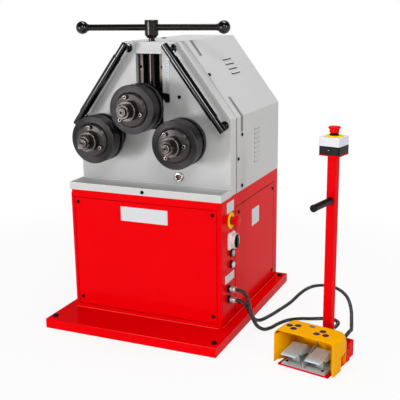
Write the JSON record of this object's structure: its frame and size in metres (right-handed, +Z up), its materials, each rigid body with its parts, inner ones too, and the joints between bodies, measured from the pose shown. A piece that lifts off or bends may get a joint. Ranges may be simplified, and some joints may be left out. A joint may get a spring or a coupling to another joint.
{
  "type": "ring roller",
  "caption": "Floor-standing profile bending machine with three overhung rollers, a hand screw, a cabinet base, and a separate pedestal with foot switch and stop button.",
  "frame": {"origin": "centre of the base's underside, on the floor", "axes": "+Z up, +X to the machine's right as seen from the rollers, rollers facing -Y"},
  "size_m": [1.0815, 0.7949, 1.085],
  "materials": {
    "black_gloss": "glossy black coating",
    "black_plastic": "satin black plastic",
    "blackened_steel": "turned steel with a polished black oxide",
    "bright_steel": "machined bright steel",
    "cast_grey": "painted grey casting",
    "conduit_black": "ribbed black plastic conduit",
    "gland_nickel": "nickel plated brass",
    "grey_paint": "fine-textured light grey enamel",
    "red_paint": "smooth semi-gloss red enamel",
    "red_plastic": "glossy red plastic",
    "switch_grey": "grey lacquered casting",
    "white_plastic": "semi-gloss off-white plastic",
    "yellow_plastic": "semi-gloss warm yellow plastic"
  },
  "bodies": {
    "machine": {"base_plate": "red_paint", "cabinet_shell": "red_paint", "front_access_panel": "red_paint", "side_access_panel": "red_paint", "drip_tray": "grey_paint", "head_front_plate": "grey_paint", "head_inner_plate": "grey_paint", "head_cover": "grey_paint", "guide_rail_left": "bright_steel", "guide_rail_right": "bright_steel", "bridge_block": "grey_paint", "scale_strip": "bright_steel", "support_bar_right": "black_gloss", "support_bar_left": "black_gloss", "guide_socket": "gland_nickel", "bearing_housing_left": "blackened_steel", "bearing_housing_right": "blackened_steel", "gear_motor": "cast_grey", "estop_collar_cabinet": "yellow_plastic", "main_switch_body": "white_plastic", "button_bezels": "black_plastic", "cabinet_glands": "gland_nickel", "wiring_panel": "bright_steel", "pedestal_base": "red_paint", "pedestal_post": "red_paint", "post_handle": "black_plastic", "stop_box_lower": "black_plastic", "stop_box_lid": "white_plastic", "estop_collar_pedestal": "yellow_plastic", "foot_switch_frame": "switch_grey", "gland_foot_switch": "gland_nickel", "gland_post": "gland_nickel", "foot_switch_hood": "yellow_plastic", "conduit_estop": "conduit_black", "conduit_pedal": "conduit_black"},
    "top_slide": {"top_slide_block": "cast_grey"},
    "screw_and_bar": {"hand_screw": "blackened_steel", "hand_bar": "black_gloss"},
    "drive_pinion_shaft": {"drive_pinion": "bright_steel"},
    "cabinet_stop_head": {"estop_button_cabinet": "red_plastic"},
    "pedestal_stop_head": {"estop_button_pedestal": "red_plastic"},
    "switch_knob": {"main_switch_knob": "black_plastic"},
    "upper_button": {"push_button_upper": "white_plastic"},
    "lower_button": {"push_button_lower": "white_plastic"},
    "left_pedal": {"foot_pedal_left": "switch_grey"},
    "right_pedal": {"foot_pedal_right": "switch_grey"},
    "top_roller_stack": {"top_roller_shaft": "blackened_steel", "top_roller_rings": "blackened_steel", "top_roller_flange": "blackened_steel", "top_roller_lock_nut": "blackened_steel"},
    "lower_left_stack": {"lower_left_shaft": "blackened_steel", "lower_left_rings": "blackened_steel", "lower_left_flange": "blackened_steel", "lower_left_lock_nut": "blackened_steel", "drive_gear_left": "bright_steel"},
    "lower_right_stack": {"lower_right_shaft": "blackened_steel", "lower_right_rings": "blackened_steel", "lower_right_flange": "blackened_steel", "lower_right_lock_nut": "blackened_steel", "drive_gear_right": "bright_steel"}
  },
  "joints": [
    {"name": "lower_left_spin", "type": "hinge", "parent": "machine", "child": "lower_left_stack", "pos_m": [-0.164, -0.15, 0.685], "axis": [0, -1, 0], "continuous": true},
    {"name": "lower_right_spin", "type": "hinge", "parent": "machine", "child": "lower_right_stack", "pos_m": [0.148, -0.15, 0.685], "axis": [0, -1, 0], "continuous": true},
    {"name": "drive_pinion_spin", "type": "hinge", "parent": "machine", "child": "drive_pinion_shaft", "pos_m": [-0.008, -0.15, 0.58556], "axis": [0, -1, 0], "continuous": true},
    {"name": "top_slide_travel", "type": "slide", "parent": "machine", "child": "top_slide", "axis": [0, 0, 1], "range_m": [-0.008, 0.1]},
    {"name": "hand_screw_turn", "type": "hinge", "parent": "top_slide", "child": "screw_and_bar", "pos_m": [-0.008, -0.123, 0.9], "axis": [0, 0, 1], "range_deg": [-480, 6000]},
    {"name": "top_roller_spin", "type": "hinge", "parent": "top_slide", "child": "top_roller_stack", "pos_m": [-0.008, -0.15, 0.796], "axis": [0, -1, 0], "continuous": true},
    {"name": "cabinet_stop_press", "type": "slide", "parent": "machine", "child": "cabinet_stop_head", "axis": [-1, 0, 0], "range_m": [0, 0.004]},
    {"name": "pedestal_stop_press", "type": "slide", "parent": "machine", "child": "pedestal_stop_head", "axis": [0, 0, -1], "range_m": [0, 0.004]},
    {"name": "main_switch_turn", "type": "hinge", "parent": "machine", "child": "switch_knob", "pos_m": [0.325, -0.153, 0.335], "axis": [1, 0, 0], "range_deg": [0, 90]},
    {"name": "upper_button_press", "type": "slide", "parent": "machine", "child": "upper_button", "axis": [-1, 0, 0], "range_m": [0, 0.003], "stiffness_N_per_m": 300, "springref_m": -0.004},
    {"name": "lower_button_press", "type": "slide", "parent": "machine", "child": "lower_button", "axis": [-1, 0, 0], "range_m": [0, 0.003], "stiffness_N_per_m": 300, "springref_m": -0.004},
    {"name": "left_pedal_press", "type": "hinge", "parent": "machine", "child": "left_pedal", "pos_m": [0.60182, -0.27711, 0.034], "axis": [0.9781, -0.2079, 0], "range_deg": [0, 12], "stiffness_Nm_per_rad": 3, "springref_deg": -17.19},
    {"name": "right_pedal_press", "type": "hinge", "parent": "machine", "child": "right_pedal", "pos_m": [0.68477, -0.29474, 0.034], "axis": [0.9781, -0.2079, 0], "range_deg": [0, 12], "stiffness_Nm_per_rad": 3, "springref_deg": -17.19}
  ],
  "couplings": [
    {"joint": "lower_right_spin", "follows": "lower_left_spin", "ratio": 1},
    {"joint": "drive_pinion_spin", "follows": "lower_left_spin", "ratio": -1.8462},
    {"joint": "top_slide_travel", "follows": "hand_screw_turn", "m_per_rad": 0.00095493}
  ]
}
